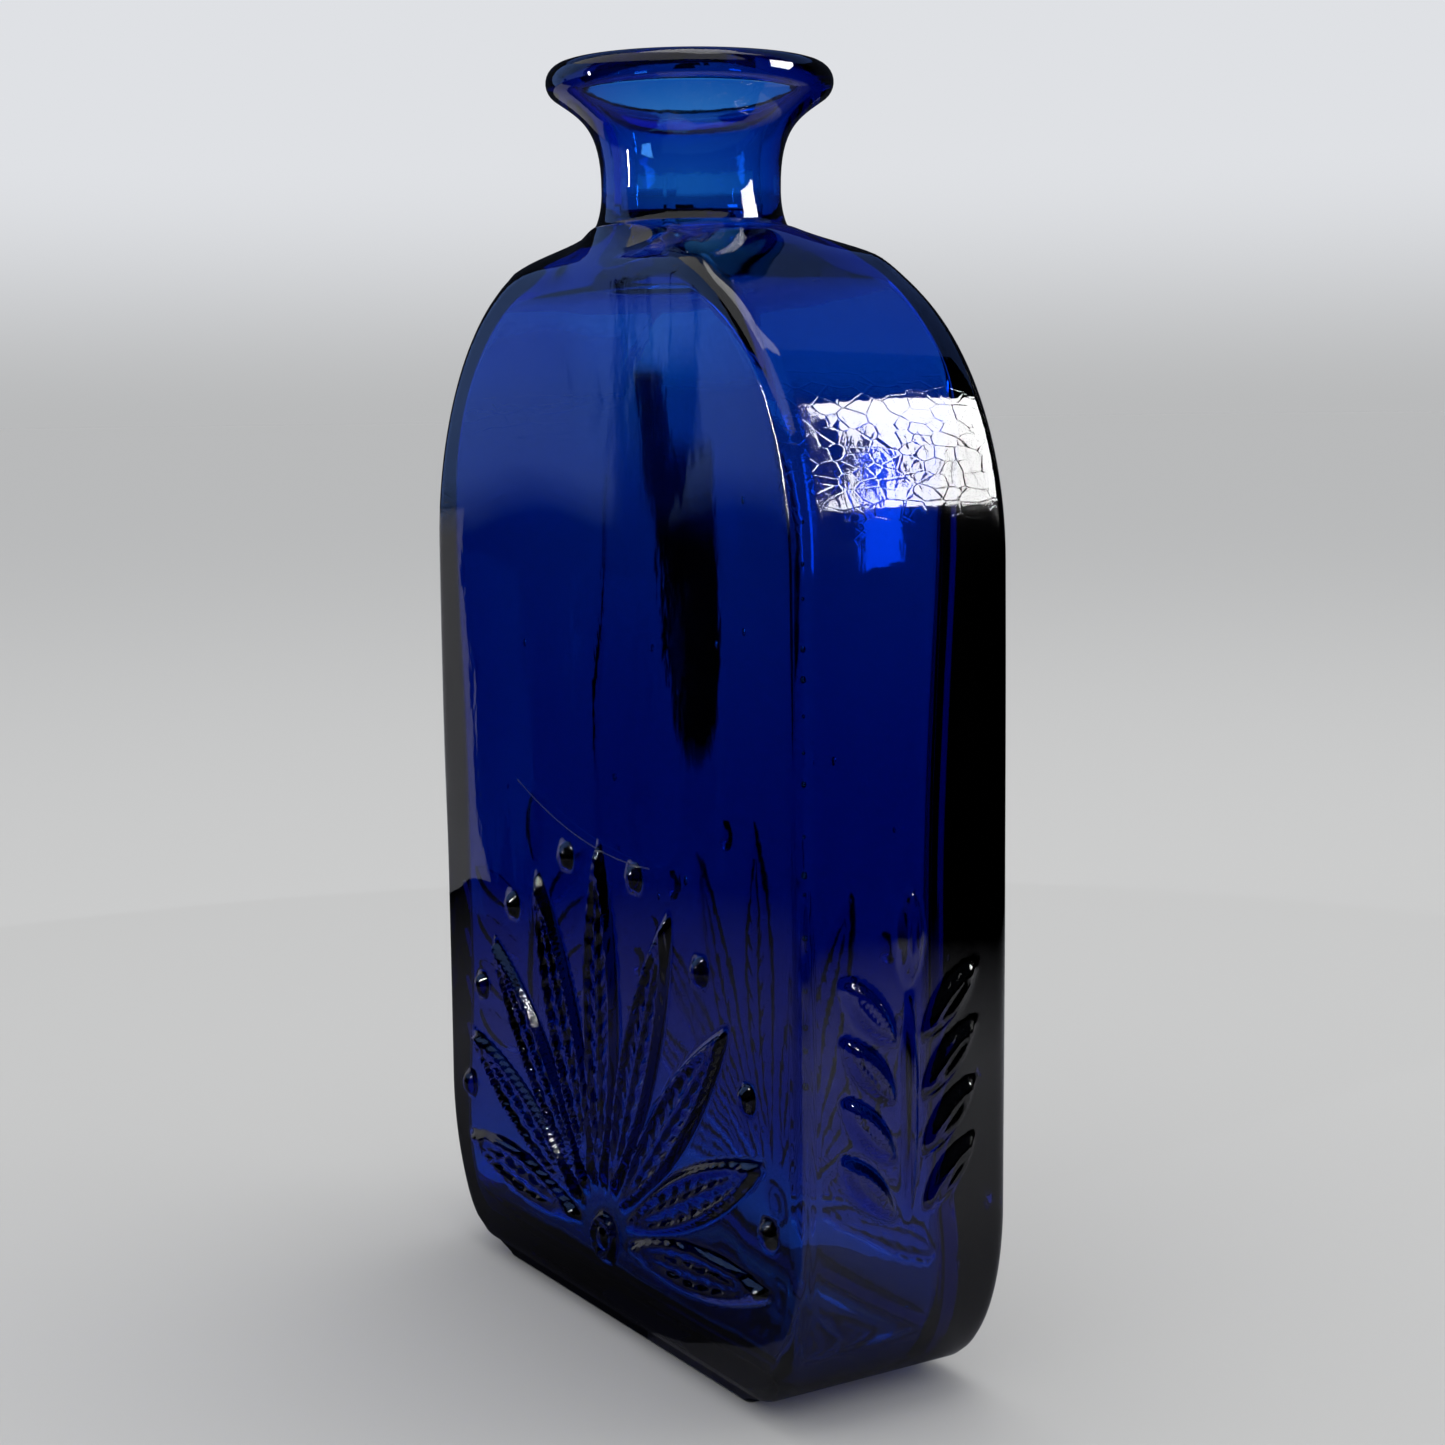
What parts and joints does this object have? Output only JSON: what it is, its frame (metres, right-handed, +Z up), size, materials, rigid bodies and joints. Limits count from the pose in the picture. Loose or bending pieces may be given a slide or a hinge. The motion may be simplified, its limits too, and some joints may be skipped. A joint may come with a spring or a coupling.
{
  "type": "glass bottle",
  "caption": "Flat cobalt-blue glass bottle with arched shoulders, a waisted open neck, a flared lip and moulded leaf relief; stands on a low foot.",
  "frame": {"origin": "middle of the foot's underside, where the bottle stands", "axes": "+Z up along the neck, X across the broad faces, Y through the depth"},
  "size_m": [0.1182, 0.0448, 0.2],
  "materials": {
    "cobalt_glass": "fire polished, moulded"
  },
  "bodies": {
    "root": {"foot": "cobalt_glass", "base": "cobalt_glass", "left_wall": "cobalt_glass", "right_wall": "cobalt_glass", "front_wall": "cobalt_glass", "back_wall": "cobalt_glass", "shoulder": "cobalt_glass", "neck": "cobalt_glass", "lip": "cobalt_glass", "front_relief": "cobalt_glass", "back_relief": "cobalt_glass", "left_relief": "cobalt_glass", "right_relief": "cobalt_glass"}
  },
  "joints": []
}
